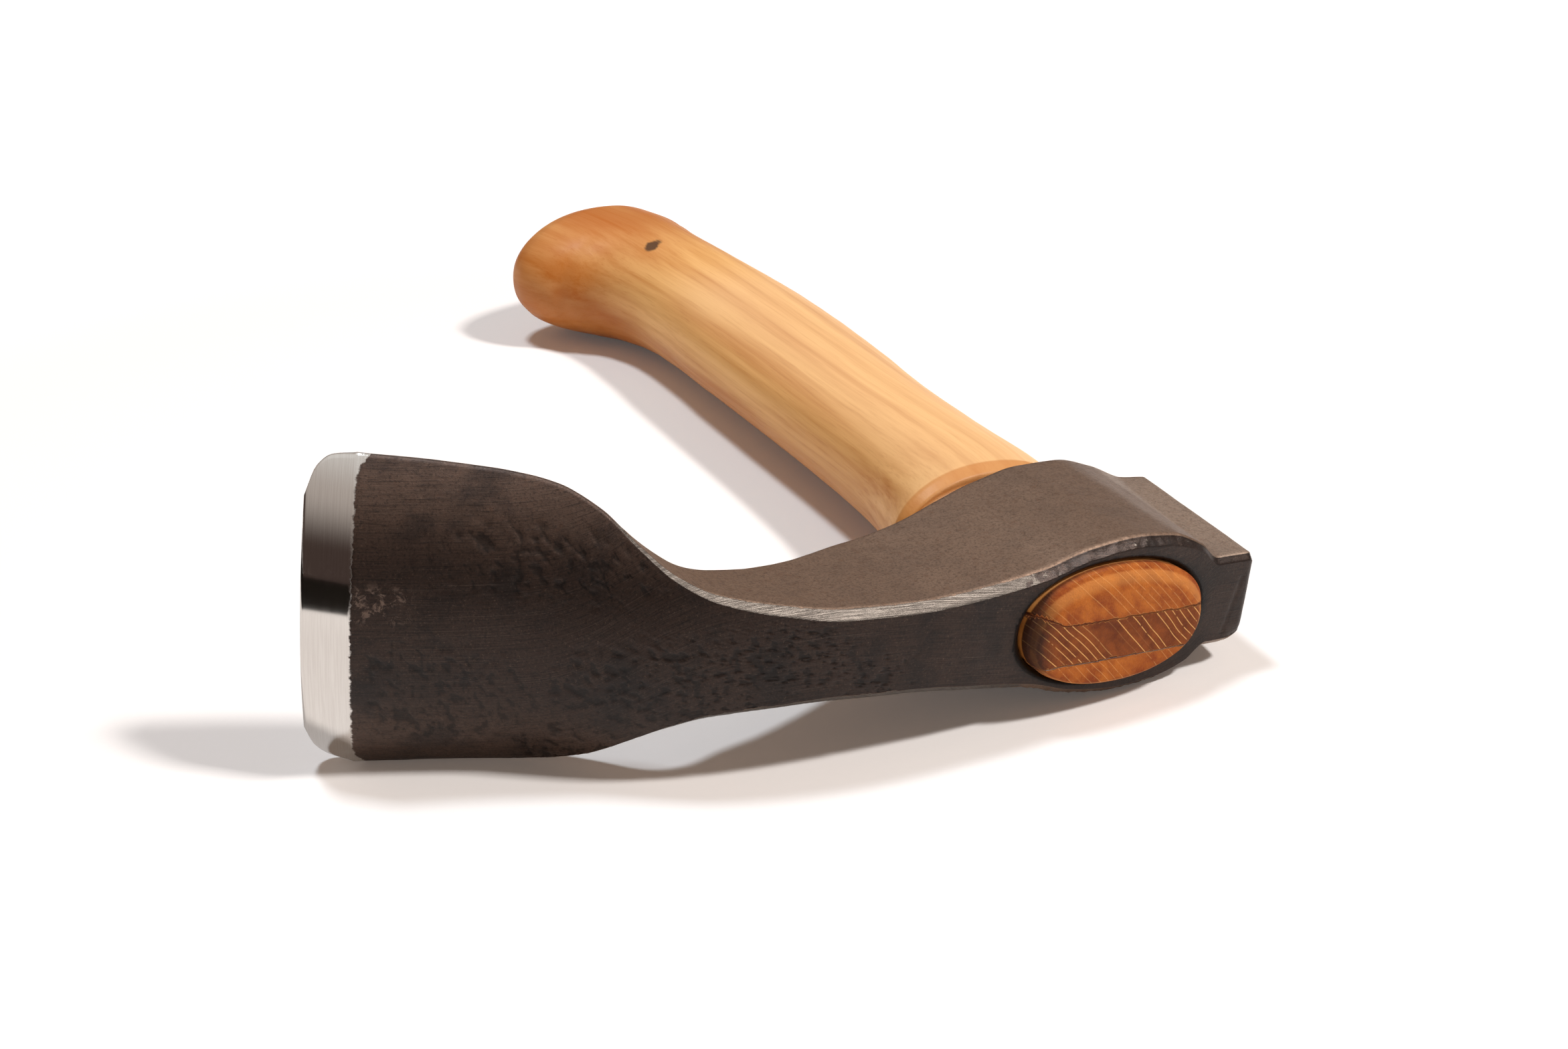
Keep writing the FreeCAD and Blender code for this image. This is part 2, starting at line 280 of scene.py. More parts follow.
row_places = np.concatenate([[0], np.cumsum(np.hypot(*np.diff(head_rows[:, :2], axis=0).T))])
body_places = np.linspace(0, row_places[-1], int(row_places[-1] / row_spacing))
body_rows = smooth_through(row_places, head_rows, body_places)

bevel_steps = 18
shares = np.linspace(1, 0, bevel_steps, endpoint=False)
rounding = smooth_through([0, 0.5, 0.8, 1], [[0], [0.12], [0.4], [1]], shares)[:, 0]
depths = between(blade_thickness, edge_land, shares)
lean = math.radians(blade_lean)
bevel_rows = np.column_stack([
    -reach - math.cos(lean) * bevel_length * shares + math.sin(lean) * (blade_thickness - depths),
    blade_drop + math.sin(lean) * bevel_length * shares + math.cos(lean) * (blade_thickness - depths),
    np.full(bevel_steps, blade_lean),
    blade - edge_corner * rounding,
    blade - edge_corner * rounding - blade_side_slope * depths / blade_thickness,
    depths,
    np.ones(bevel_steps),
    depths / 8])
rows = np.vstack([bevel_rows, body_rows])
places = np.concatenate([-bevel_length * shares, body_places])
print("head:", len(rows), "sections,", round(places[-1] - places[0]), "mm along the front")

# %% [markdown]
# Each section is a closed ring of eight stretches: the front arc, a chamfer, the upper side, a
# chamfer, the back arc, and the same again below. The front and the upper side get the most
# points, since the forging marks show there.

# %% A ring round one section
front_count, side_count, back_count, under_count, chamfer_count = 104, 44, 30, 12, 4


def arc(z, half, bow):
    """Height over its middle of the circular arc that rises by bow at half."""
    if abs(bow) < 1e-6:
        return np.zeros_like(z)
    radius = (half ** 2 + bow ** 2) / (2 * abs(bow))
    return math.copysign(1, bow) * (radius - np.sqrt(radius ** 2 - z ** 2))


def ring(row, inset):
    """Points round one section, and for each its stretch number."""
    x, y, lean, half, half_back, depth, gouge, chamfer = row
    half, half_back, depth = half - inset, half_back - inset, depth - 2 * inset
    front_bow = gouge * (gouge_radius - math.sqrt(gouge_radius ** 2 - half ** 2))
    side = math.sqrt(depth ** 2 - (half - half_back) ** 2)
    back_u = side + front_bow * (2 * gouge - 1)
    share = chamfer / depth
    drop = half - half_back
    front_half = half - chamfer
    corner_bow = gouge * (gouge_radius - math.sqrt(gouge_radius ** 2 - front_half ** 2))
    back_half = half_back - chamfer
    back_corner = depth + (back_u - depth) * (back_half / half_back) ** 2
    # Ends of the upper side's two chamfers, from front to back.
    a = (corner_bow, front_half)
    b = (front_bow + side * share, half - drop * share)
    c = (back_u - side * share, half_back + drop * share)
    d = (back_corner, back_half)

    def line(start, end, count):
        t = np.linspace(0, 1, count, endpoint=False)[:, None]
        return np.array(start) * (1 - t) + np.array(end) * t

    def mirror(point):
        return (point[0], -point[1])

    z_front = np.linspace(-front_half, front_half, front_count, endpoint=False)
    z_back = np.linspace(back_half, -back_half, back_count, endpoint=False)
    stretches = [
        np.column_stack([arc(z_front, front_half, corner_bow), z_front]),
        line(a, b, chamfer_count), line(b, c, side_count), line(c, d, chamfer_count),
        np.column_stack([depth + arc(z_back, back_half, back_corner - depth), z_back]),
        line(mirror(d), mirror(c), chamfer_count), line(mirror(c), mirror(b), under_count),
        line(mirror(b), mirror(a), chamfer_count)]
    uz = np.vstack(stretches)
    u = uz[:, 0] + inset
    turn = math.radians(lean)
    points = np.column_stack([x + u * math.sin(turn), y + u * math.cos(turn), uz[:, 1]])
    return points, np.repeat(np.arange(8), [len(s) for s in stretches])


# %% [markdown]
# The rings are joined by four-sided faces. The last rows shrink as a quarter circle does, which
# rounds the poll's rim, and smaller copies of the last ring close its face. Each point keeps
# its stretch, its place along the head and its way round the ring.

# %% Skin the head
rim = 1.5
to_end = np.clip((places - (places[-1] - rim)) / rim, 0, 1)
insets = rim * (1 - np.sqrt(1 - to_end ** 2)) * 0.8
rings = np.array([ring(row, inset)[0] for row, inset in zip(rows, insets)])
stretch = ring(rows[0], 0)[1]
row_count, ring_count = rings.shape[:2]
cap_scales = (0.93, 0.82, 0.66, 0.48, 0.3, 0.14)
middle = rings[-1].mean(axis=0)
caps = [middle + (rings[-1] - middle) * scale for scale in cap_scales]
skin = np.concatenate([rings.reshape(-1, 3)] + caps + [middle[None]])
stretch_of = np.concatenate([np.tile(stretch, row_count), np.zeros(ring_count * len(caps) + 1, int)])
place_of = np.concatenate([np.repeat(places, ring_count),
                           np.full(ring_count * len(caps) + 1, places[-1])])
steps_round = np.linalg.norm(np.roll(rings, -1, axis=1) - rings, axis=2)
round_of = np.cumsum(steps_round, axis=1) - steps_round
round_of = np.concatenate([round_of.ravel(), np.tile(round_of[-1], len(caps)), [0]])

loops = row_count + len(caps)
faces = []
for i in range(loops - 1):
    for j in range(ring_count):
        k = (j + 1) % ring_count
        here, there = i * ring_count, (i + 1) * ring_count
        faces.append((here + j, here + k, there + k, there + j))
last = (loops - 1) * ring_count
faces += [(last + j, last + (j + 1) % ring_count, len(skin) - 1) for j in range(ring_count)]
faces.append(tuple(reversed(range(ring_count))))
print("head skin:", len(skin), "points,", len(faces), "faces")

# %% [markdown]
# ## Forging marks
#
# A hammered surface is never flat: it has broad, shallow hollows, and patches of pits where
# scale was beaten in. Both are real dents in the mesh, so that they shade from any side, and
# all go inward, so the head keeps its size. The finest grain is left to the material. First
# come the directions to press in, and masks for the bevel and the forged skin.

# %% Which way is outward, and where each finish lies
def outward(points):
    """Unit normals of the skin, from its faces."""
    quads = np.array([f for f in faces if len(f) == 4])
    across = points[quads[:, 2]] - points[quads[:, 0]]
    along = points[quads[:, 3]] - points[quads[:, 1]]
    flat = np.cross(across, along)
    total = np.zeros_like(points)
    for corner in range(4):
        np.add.at(total, quads[:, corner], flat)
    return total / np.maximum(np.linalg.norm(total, axis=1), 1e-9)[:, None]


normals = outward(skin)
centre = skin.mean(axis=0)
if np.einsum("ij,ij->i", normals, skin - centre).mean() < 0:
    normals = -normals
    faces = [tuple(reversed(f)) for f in faces]

x_of, y_of, z_of = skin.T
is_front = (stretch_of == 0) & (place_of < places[-1] - rim)
is_chamfer = (stretch_of == 1) | (stretch_of == 7)
ground = 1 - ramp(place_of, -0.25, 0.25)
forged = ramp(place_of, 0.5, 3)
print(int(is_front.sum()), "points on the front,", int(is_chamfer.sum()), "on the chamfers")

# %% [markdown]
# Two sizes of noise make the hammer's hollows. The pits gather in patches, each given by its
# place along and across the blade and its two spreads, and a finer noise breaks them up.

# %% Hollows and pits
wide_hollow, small_hollow, pit_depth = 0.10, 0.05, 0.24
sink = wide_hollow * (0.5 + 0.5 * bumps(skin, 13.0, 1)) * forged
sink += small_hollow * (0.5 + 0.5 * bumps(skin, 4.0, 2)) * forged

patches = [(-118, -12, 17, 12), (-92, -8, 15, 10), (-97, -21, 11, 7), (-84, -3, 11, 8),
           (-68, 0, 15, 8), (-125, -6, 7, 6), (-76, -10, 10, 6), (-50, -4, 9, 5), (-104, 14, 20, 7)]
worn = np.zeros(len(skin))
for patch_x, patch_z, spread_x, spread_z in patches:
    off_x, off_z = (x_of - patch_x) / spread_x, (z_of - patch_z) / spread_z
    worn = np.maximum(worn, np.exp(-off_x ** 2 - off_z ** 2))
cracks = bumps(np.column_stack([x_of * 0.75 + z_of * 0.25, z_of * 0.55 - x_of * 0.1, y_of * 0.2]), 1.0, 6, 4)
pits = ramp(cracks + 0.35 * worn, 0.34, 0.62) * ramp(worn, 0.15, 0.7) * is_front * ramp(place_of, 1, 3)
sink += pit_depth * pits
print(int((pits > 0.5).sum()), "points pitted")

# %% [markdown]
# The neck's chamfers were filed, with scratches along them, and the eye's were only hammered. On the
# hammered ones, scattered patches of the filed colour are painted highlights.
# The poll has a knocked corner and a thin fold in its steel. The bevel was ground last, so it has no marks.
# The blade's low front corner is set down a millimetre toward the sheet.

# %% File marks, hammer marks and the poll's scars
file_depth, hammer_depth, notch_depth, fold_depth, set_down = 0.07, 0.3, 0.9, 0.16, 1.0
filed = is_chamfer * ramp(x_of, -99, -84) * (1 - ramp(x_of, -30, -12))
file_marks = bumps(np.column_stack([place_of * 0.16, round_of * 3, z_of * 0]), 1.0, 3, 2)
hammered = ramp(x_of, -30, -14) * (1 - ramp(x_of, 18, 26)) * is_chamfer
beaten = bumps(skin, 1.3, 4, 2)
sink += (filed * file_depth * (0.5 + 0.5 * file_marks)
         + hammered * hammer_depth * (0.5 + 0.5 * beaten))

notch = np.exp(-((x_of - poll_reach + 0.5) / 2.2) ** 2 - ((z_of + poll - 0.5) / 1.8) ** 2
               - (y_of / 2.5) ** 2)
sink += notch * (notch_depth + 0.5 * bumps(skin, 1.1, 5, 2))
off_fold = x_of - poll_reach + 4.6 - 0.22 * (z_of + 4)
fold = np.exp(-(off_fold / 0.35) ** 2) * (np.abs(z_of + 1) < 6) * is_front
sink += fold_depth * fold * ramp(y_of, 3, 0)
sink *= np.where(place_of < 0, 0, 1)
skin = skin - normals * np.maximum(sink, 0)[:, None]
low_corner = ramp(x_of, -105, -131) * ramp(z_of, -14, -26)
skin[:, 2] -= set_down * low_corner
print("deepest mark", round(float(sink.max()), 2), "mm")

# %% [markdown]
# ## The eye
#
# The eye is punched and drifted, so its rim is a little dished, most at the end nearer the
# blade. An oval plug is subtracted from the skin, flared where the eye opens. The power makes
# the oval fuller than an ellipse, as a drift's is.

# %% Closed ovals, and solids skinned over them
oval_power = 2.15


def oval(x, y, long_axis, short_axis, count=160):
    """Closed oval across the handle."""
    angle = np.linspace(0, 2 * math.pi, count, endpoint=False)
    c, s = np.cos(angle), np.sin(angle)
    u = np.sign(c) * np.abs(c) ** (2 / oval_power) * long_axis / 2
    v = np.sign(s) * np.abs(s) ** (2 / oval_power) * short_axis / 2
    return np.column_stack([x + u, np.full(count, y), v])


def plug(name, sections):
    """A closed solid skinned over rings of equal count."""
    count = len(sections[0])
    points = np.vstack(sections)
    sides = []
    for i in range(0, len(points) - count, count):
        for j in range(count):
            k = (j + 1) % count
            sides.append((i + count + j, i + count + k, i + k, i + j))
    ends = [tuple(range(count)), tuple(reversed(range(len(points) - count, len(points))))]
    return mesh_object(name, placed(points).tolist(), sides + ends)


# %% [markdown]
# The values that the steel's finish reads are stored on the skin before the cut. The plug gets
# them too, because its side becomes the eye's wall: without them the wall would read 0, which
# stands for polished bevel.

# %% Store the finish masks, and cut the eye
wall_place = 150.0
adze_head = mesh_object("adze_head_skin", placed(skin).tolist(), faces)
store(adze_head, "ground", ground)
# The hammered chamfers add scattered patches to the filed mask. These are painted highlights.
store(adze_head, "filed", np.clip(filed + hammered * (0.05 - 0.6 * beaten), 0, 1))
store(adze_head, "pits", pits)
store(adze_head, "lengthwise", np.column_stack([place_of, round_of, stretch_of * 10.0]))
store(adze_head, "tool", np.column_stack([x_of, y_of, z_of]))

# Each pair is a place along the plug and how far it flares there.
plug_sections = []
for y, flare in ((-6, 1.2), (0.0, 1.2), (0.7, 0.5), (1.6, 0.08), (head_depth - 1.2, 0.08),
                 (head_depth - 0.4, 0.4), (head_depth, 0.7), (head_depth + 6, 0.7)):
    shrink = eye_taper * np.clip(y, 0, head_depth) / head_depth
    section = oval(0, y, eye_length - shrink + 2 * flare, eye_width - shrink + 2 * flare)
    section[:, 0] -= np.clip(-section[:, 0] / eye_end, 0, 1) * flare * 0.8
    plug_sections.append(section)
eye_plug = plug("eye_plug", plug_sections)
wall = np.vstack(plug_sections)
store(eye_plug, "tool", wall)
store(eye_plug, "lengthwise", np.tile((wall_place, 0.0, 0.0), (len(wall), 1)))
cut(adze_head, eye_plug)
adze_head.data.shade_smooth()
print("head after the eye:", len(adze_head.data.vertices), "points")

# %% [markdown]
# ## Writing node trees as arithmetic
#
# The handle's shape and every finish are node trees. A small class lets a script write them
# as sums and products, which reads better than a page of links. `make` adds one node, sets
# it up and fills its inputs, by place or by name.

# %% A node's output that can be added and multiplied
class Wire:
    """One output of a node."""

    def __init__(self, tree, socket):
        self.tree, self.socket = tree, socket

    def math(self, operation, *others):
        return make(self.tree, "ShaderNodeMath", (self, *others), operation=operation)

    def __add__(self, other):
        return self.math("ADD", other)

    def __sub__(self, other):
        return self.math("SUBTRACT", other)

    def __mul__(self, other):
        return self.math("MULTIPLY", other)

    def __truediv__(self, other):
        return self.math("DIVIDE", other)

    def __pow__(self, other):
        return self.math("POWER", other)

    def __abs__(self):
        return self.math("ABSOLUTE")

    def step(self, start, end):
        """0 at start, 1 at end, smooth between."""
        return make(self.tree, "ShaderNodeMapRange", (self, start, end, 0.0, 1.0),
                    interpolation_type="SMOOTHSTEP")


def make(tree, kind, inputs=(), output=0, **settings):
    """Adds a node and returns one of its outputs as a wire."""
    made = tree.nodes.new(kind)
    for name, value in settings.items():
        setattr(made, name, value)
    pairs = inputs.items() if isinstance(inputs, dict) else enumerate(inputs)
    for name, value in pairs:
        if isinstance(value, Wire):
            tree.links.new(value.socket, made.inputs[name])
        else:
            made.inputs[name].default_value = value
    return Wire(tree, made.outputs[output])


def split(vector):
    """The x, y and z of a vector wire."""
    made = vector.tree.nodes.new("ShaderNodeSeparateXYZ")
    vector.tree.links.new(vector.socket, made.inputs[0])
    return [Wire(vector.tree, out) for out in made.outputs]


def joined(x, y, z):
    """A vector wire from three parts, some of them plain numbers."""
    tree = next(v.tree for v in (x, y, z) if isinstance(v, Wire))
    return make(tree, "ShaderNodeCombineXYZ", (x, y, z))


def end_tree(wire, kind="ShaderNodeOutputMaterial"):
    """Leads a wire to a new output node."""
    wire.tree.links.new(wire.socket, wire.tree.nodes.new(kind).inputs[0])


# %% [markdown]
# ## The handle's rule
#
# The handle is one rule all the way: ovals threaded on a bent centre line. So it is a
# Geometry Nodes tree: a flat grid is rolled up, its rows are the ovals, and curves over the
# rows say where each oval stands and how long, wide and turned it is. Rows crowd together
# where the wood has edges, at the tongue's end and at the shoulder. Each row of the table is
# an oval: its number in the grid, place, size, lean, and drop toward the floor. Up to the
# grip's first row the wood is cut sharp, and from there on it flows.

# %% The ovals of the handle
eye_clearance = 0.05
tongue_proud = 2.6
tongue_chamfer = 1.8
shoulder_ends = 2.3
shoulder_sides = 3.3
shoulder_height = 2.8
shoulder_chamfer = 1.1
handle_bow = 18.0
waist_length, waist_width = 36.6, 26.6
belly_length, belly_width = 42.4, 27.8
grip_end_length = 57.4
grip_end_turn = 18.0
grip_twist = 3.0
carving_depth = 0.16
grip_first, grip_last, last_row = 42, 226, 256

seat = head_depth + eye_clearance
collar_y = seat + shoulder_height
collar_length = eye_length - eye_taper + 2 * shoulder_ends
collar_width = eye_width - eye_taper + 2 * shoulder_sides
turn = math.radians(grip_end_turn)
swell_x = handle_bow * 0.22 + math.sin(turn) * grip_end_round
swell_y = handle_length - math.cos(turn) * grip_end_round

# number, x, y, long, short, lean, drop
end_inset = 2 * tongue_chamfer
face_drop = 1.7
ovals = [
    (0, 0, -tongue_proud, 0, 0, 0, face_drop),
    (20, 0, -tongue_proud, eye_length - end_inset, eye_width - 1.5 * end_inset, 0, face_drop),
    (24, 0, -tongue_proud + 0.45, eye_length - 0.55 * end_inset, eye_width - 0.7 * end_inset,
     0, 0.5 * face_drop),
    (29, 0, tongue_chamfer - tongue_proud, eye_length, eye_width, 0, 0),
    (36, 0, seat, eye_length - eye_taper, eye_width - eye_taper, 0, 0),
    (38, handle_bow * 0.10, seat, collar_length - 2 * shoulder_chamfer, collar_width - 2 * shoulder_chamfer,
     0, 0),
    (grip_first, handle_bow * 0.12, collar_y, collar_length, collar_width, 0, 0),
]
for share, bow, lean, long_axis, short_axis in (
        (0.065, 0.33, 0, waist_length + 3.4, waist_width + 1.8),
        (0.165, 0.48, 0, waist_length, waist_width + 0.8),
        (0.29, 0.62, 0, waist_length + 0.8, waist_width),
        (0.44, 0.81, 0, belly_length - 1.4, belly_width - 1.0),
        (0.59, 0.945, 0, belly_length, belly_width),
        (0.715, 1.0, 0, belly_length - 1.8, belly_width + 1.4),
        (0.80, 0.975, 4, belly_length - 3.2, belly_width + 2.6),
        (0.875, 0.87, 10, belly_length - 1.4, belly_width + 4.4),
        (0.94, 0.69, 15, grip_end_length - 7.2, grip_end_width - 0.6)):
    number = round(between(grip_first, grip_last, share))
    ovals.append((number, handle_bow * bow, between(collar_y, swell_y, share), long_axis, short_axis,
                  lean, 0))
for number, share, inset in ((grip_last, 0, 0), (231, 0.35, 0.6), (236, 0.62, 2.2), (242, 0.83, 5.2),
                             (248, 0.995, 10.3), (last_row, 1.03, grip_end_width / 2)):
    ovals.append((number, swell_x - math.sin(turn) * grip_end_round * share,
                  swell_y + math.cos(turn) * grip_end_round * share,
                  grip_end_length - 2 * inset if number < last_row else 0,
                  grip_end_width - 2 * inset, grip_end_turn, 0))
print(len(ovals), "ovals, from", -tongue_proud, "to", round(ovals[-1][2], 1), "mm along the handle")

# %% [markdown]
# The curves are Float Curve nodes. A sharp row gets a vector handle, and a flowing row a
# clamped one, which never bulges past its neighbours. A new curve already has its two end
# points, so only the rows between them are added.

# %% A value that follows the rows
def over_rows(tree, row_share, column, scale):
    """A value along the handle, read off the table of ovals by a curve, times scale."""
    made = tree.nodes.new("ShaderNodeFloatCurve")
    curve = made.mapping.curves[0]
    made.mapping.use_clip = False
    for i, row in enumerate(ovals):
        at, value = row[0] / last_row, row[column] / scale
        if 0 < i < len(ovals) - 1:
            point = curve.points.new(at, value)
        else:
            point = curve.points[0 if i == 0 else len(curve.points) - 1]
            point.location = (at, value)
        point.handle_type = "VECTOR" if row[0] <= grip_first else "AUTO_CLAMPED"
    made.mapping.update()
    tree.links.new(row_share.socket, made.inputs["Value"])
    return Wire(tree, made.outputs[0])


# %% [markdown]
# The grid's x becomes the way along the handle and its y the way round. Grain runs straight through carved
# wood, so the tree also stores each point's place in the wood, for the finish to read. The end's turn and
# most of the bow are taken out of it, though not the twist. Knife strokes then dent the grip a little.

# %% Roll the grid, and carve it
twist_start, twist_rate = 0.16, 1.37
weld_distance = 0.004


def roll_grid(tree, given, rows, columns):
    """The grid's points carried to the ovals, with its long edges and both ends closed."""
    grid = make(tree, "GeometryNodeMeshGrid", (1.0, 1.0, rows + 1, columns + 1))
    gx, gy, _ = split(make(tree, "GeometryNodeInputPosition"))
    share = gx + 0.5
    angle = (gy + 0.5) * (2 * math.pi)
    x = over_rows(tree, share, 1, handle_bow) * given["Bow"]
    y = over_rows(tree, share, 2, handle_length + tongue_proud) * given["Length"]
    long_axis = over_rows(tree, share, 3, grip_end_length) * given["Long axis"]
    short_axis = over_rows(tree, share, 4, grip_end_width) * given["Short axis"]
    lean = over_rows(tree, share, 5, grip_end_turn) * given["End turn"]
    drop = over_rows(tree, share, 6, face_drop) * given["Face drop"]
    twist = (share - twist_start).math("MAXIMUM", 0.0) * given["Twist"] * twist_rate

    power = given["Oval power"] ** -1.0 * 2.0
    c, s = angle.math("COSINE"), angle.math("SINE")
    u = abs(c) ** power * c.math("SIGN") * long_axis * 0.5
    v = abs(s) ** power * s.math("SIGN") * short_axis * 0.5
    across = u * twist.math("COSINE") - v * twist.math("SINE")
    up = u * twist.math("SINE") + v * twist.math("COSINE") - drop
    place = joined(x + across * lean.math("COSINE"), y + across * lean.math("SINE"), up)
    kept = make(tree, "GeometryNodeStoreNamedAttribute",
                {"Geometry": grid, "Name": "grain", "Value": joined(across + x * 0.3, y, up)},
                data_type="FLOAT_VECTOR", domain="POINT")
    rolled = make(tree, "GeometryNodeSetPosition", {"Geometry": kept, "Position": place})
    return make(tree, "GeometryNodeMergeByDistance", {"Geometry": rolled, "Distance": weld_distance})


def carve(tree, wood, depth):
    """Broad, shallow dents on the grip, pressed inward."""
    spot = make(tree, "GeometryNodeInputPosition")
    strokes = make(tree, "ShaderNodeTexNoise", {"Vector": spot, "Scale": 0.11, "Detail": 1.0})
    on_grip = split(spot)[1].step(collar_y, collar_y + 8)
    normal = make(tree, "GeometryNodeInputNormal")
    dent = make(tree, "ShaderNodeVectorMath", {0: normal, "Scale": (strokes - 1.0) * depth * on_grip},
                operation="SCALE")
    return make(tree, "GeometryNodeSetPosition", {"Geometry": wood, "Offset": dent})


# %% [markdown]
# The tree's inputs carry the main sizes by name, so a longer or thicker handle is one number
# away. A modifier runs it once, and its result becomes the piece's plain mesh.

# %% The handle's tree, and how it is run
def handle_tree(rows, columns):
    tree = bpy.data.node_groups.new("handle_rule", "GeometryNodeTree")
    sizes = {"Length": handle_length + tongue_proud, "Bow": handle_bow, "Long axis": grip_end_length,
             "Short axis": grip_end_width, "End turn": turn, "Twist": math.radians(grip_twist),
             "Oval power": oval_power, "Carving depth": carving_depth, "Face drop": face_drop}
    for name, value in sizes.items():
        socket = tree.interface.new_socket(name, in_out="INPUT", socket_type="NodeSocketFloat")
        socket.default_value = value
    tree.interface.new_socket("Finish", in_out="INPUT", socket_type="NodeSocketMaterial")
    tree.interface.new_socket("Geometry", in_out="OUTPUT", socket_type="NodeSocketGeometry")
    entry = tree.nodes.new("NodeGroupInput")
    given = {out.name: Wire(tree, out) for out in entry.outputs if out.name}
    carved = carve(tree, roll_grid(tree, given, rows, columns), given["Carving depth"])
    solid = make(tree, "GeometryNodeRealizeInstances", {"Geometry": carved})
    end_tree(make(tree, "GeometryNodeSetMaterial", {"Geometry": solid, "Material": given["Finish"]}),
             "NodeGroupOutput")
    return tree


def run_tree(name, tree, finish):
    """Runs a tree on an empty mesh and returns the result as a plain piece."""
    piece = add_object(name, bpy.data.meshes.new(name))
    modifier = piece.modifiers.new("grow", "NODES")
    modifier.node_group = tree
    for socket in tree.interface.items_tree:
        if socket.in_out == "INPUT" and socket.name == "Finish":
            modifier[socket.identifier] = finish
    apply_modifiers(piece)
    return piece


# %% [markdown]
# ## Helpers for finishes
#
# A finish is a colour, a roughness and a height, worked out from noise on the coordinates
# stored with the piece. A number that is the same everywhere goes straight onto its socket.

# %% Stored values, noise, mixing, and the shader
def new_material(name):
    material = bpy.data.materials.new(name)
    material.use_nodes = True
    tree = material.node_tree
    tree.nodes.clear()
    return material, tree


def stored(tree, name, output="Vector"):
    """A vector kept on the mesh, or a number, whose output is Fac."""
    return make(tree, "ShaderNodeAttribute", output=output, attribute_name=name)


def grain_noise(vector, scale, detail=3.0, roughness=0.55, distortion=0.0):
    return make(vector.tree, "ShaderNodeTexNoise",
                {"Vector": vector, "Scale": scale, "Detail": detail, "Roughness": roughness,
                 "Distortion": distortion})


def scaled(vector, x, y, z):
    """A vector wire with each part times a number."""
    return make(vector.tree, "ShaderNodeVectorMath", (vector, (x, y, z)), operation="MULTIPLY")


def rgb(hex_colour):
    """A colour written as on a paint card, as the linear values that nodes take."""
    parts = [int(hex_colour[i:i + 2], 16) / 255 for i in (0, 2, 4)]
    return tuple(v / 12.92 if v <= 0.04045 else ((v + 0.055) / 1.055) ** 2.4 for v in parts) + (1.0,)


def mix(a, b, share, how="MIX"):
    """Colour a where share is 0 and b where it is 1. Either may be a paint-card text."""
    a, b = (rgb(v) if isinstance(v, str) else v for v in (a, b))
    return make(share.tree, "ShaderNodeMix", {0: share, 6: a, 7: b}, output=2, data_type="RGBA",
                blend_type=how)


def times(colour, tint, share):
    return mix(colour, tint, share, "MULTIPLY")


def surface(material, colour, roughness, height, metal=0.0, bump_mm=0.1, specular=0.5, coat=0.0,
            coat_roughness=0.2):
    """Ends a material's tree in its shader, with height as a bump."""
    tree = material.node_tree
    bump = make(tree, "ShaderNodeBump", {"Strength": 1.0, "Distance": bump_mm / 1000, "Height": height})
    end_tree(make(tree, "ShaderNodeBsdfPrincipled", {
        "Base Color": colour, "Roughness": roughness, "Metallic": metal, "Normal": bump,
        "Specular IOR Level": specular, "Coat Weight": coat, "Coat Roughness": coat_roughness}))
    return material


# %% [markdown]
# ## Oiled wood
#
# The handle is a pale hardwood, oiled until it turned orange. Its colour runs in soft streaks along the
# grain. It is deeper at the swelled end, where the oil soaked in, and deeper underneath, where it is painted
# shade. The streaks follow the stored grain coordinates, stretched a long way along the handle. The upper
# side has a painted pale sheen short of the swelled end, the collar by the head is darker, and a small knot
# sits near the grip's end.

# %% Wood along the grain
def side_grain(tree, pale, deep):
    """Colour of the long grain, and the two noises that its relief also uses."""
    grain = stored(tree, "grain")
    gx, gy, gz = split(grain)
    bands = grain_noise(scaled(grain, 0.16, 0.006, 0.16), 1.0, 2.0, 0.5, 0.2)
    streaks = grain_noise(scaled(grain, 0.45, 0.010, 0.45), 1.0, 3.0, 0.6)
    fine = grain_noise(scaled(grain, 2.4, 0.06, 2.4), 1.0, 4.0, 0.65)
    clouds = grain_noise(scaled(grain, 0.04, 0.02, 0.04), 1.0, 2.0)
    tone = bands.step(0.36, 0.70) * 0.6 + streaks.step(0.4, 0.7) * 0.4
    colour = mix(pale, deep, tone.math("MINIMUM", 1.0))
    colour = times(colour, "D2B08C", fine.step(0.50, 0.75) * 0.4)
    toward_end = gy.step(190, 240) * 0.9
    # Painted shade: the handle's underside is painted a deeper orange. It is added to the real soak toward
    # the swelled end.
    painted_underside_shade = (gz * -1.0).step(-2, 12) * 0.65
    soak_and_underside_shade = (toward_end + painted_underside_shade) * (clouds + bands * 0.5)
    colour = mix(colour, "A9560F", soak_and_underside_shade.math("MINIMUM", 0.75))
    # Painted highlight: the upper side, short of the swelled end, is painted paler, as a sheen from the
    # light above.
    painted_top_sheen = gz.step(3, 13) * gy.step(205, 170)
    colour = mix(colour, "F6D2A8", painted_top_sheen * 0.30)
    collar = gy.step(collar_y + 1.2, collar_y + 0.2)
    colour = mix(colour, "B87434", collar * 0.65)

    from_knot_x, from_knot_y = gx + 3.0, gy - 217.0
    knot_at = joined(from_knot_x * 0.20 + from_knot_y * 0.12, from_knot_y * 0.34 - from_knot_x * 0.2, 0.0)
    knot_size = make(tree, "ShaderNodeVectorMath", (knot_at,), output="Value", operation="LENGTH")
    knot = (knot_size + streaks * 1.2 - 0.6).step(1.0, 0.55) * gz.step(6.0, 9.0)
    return mix(colour, "38200E", knot * 0.9), streaks, fine
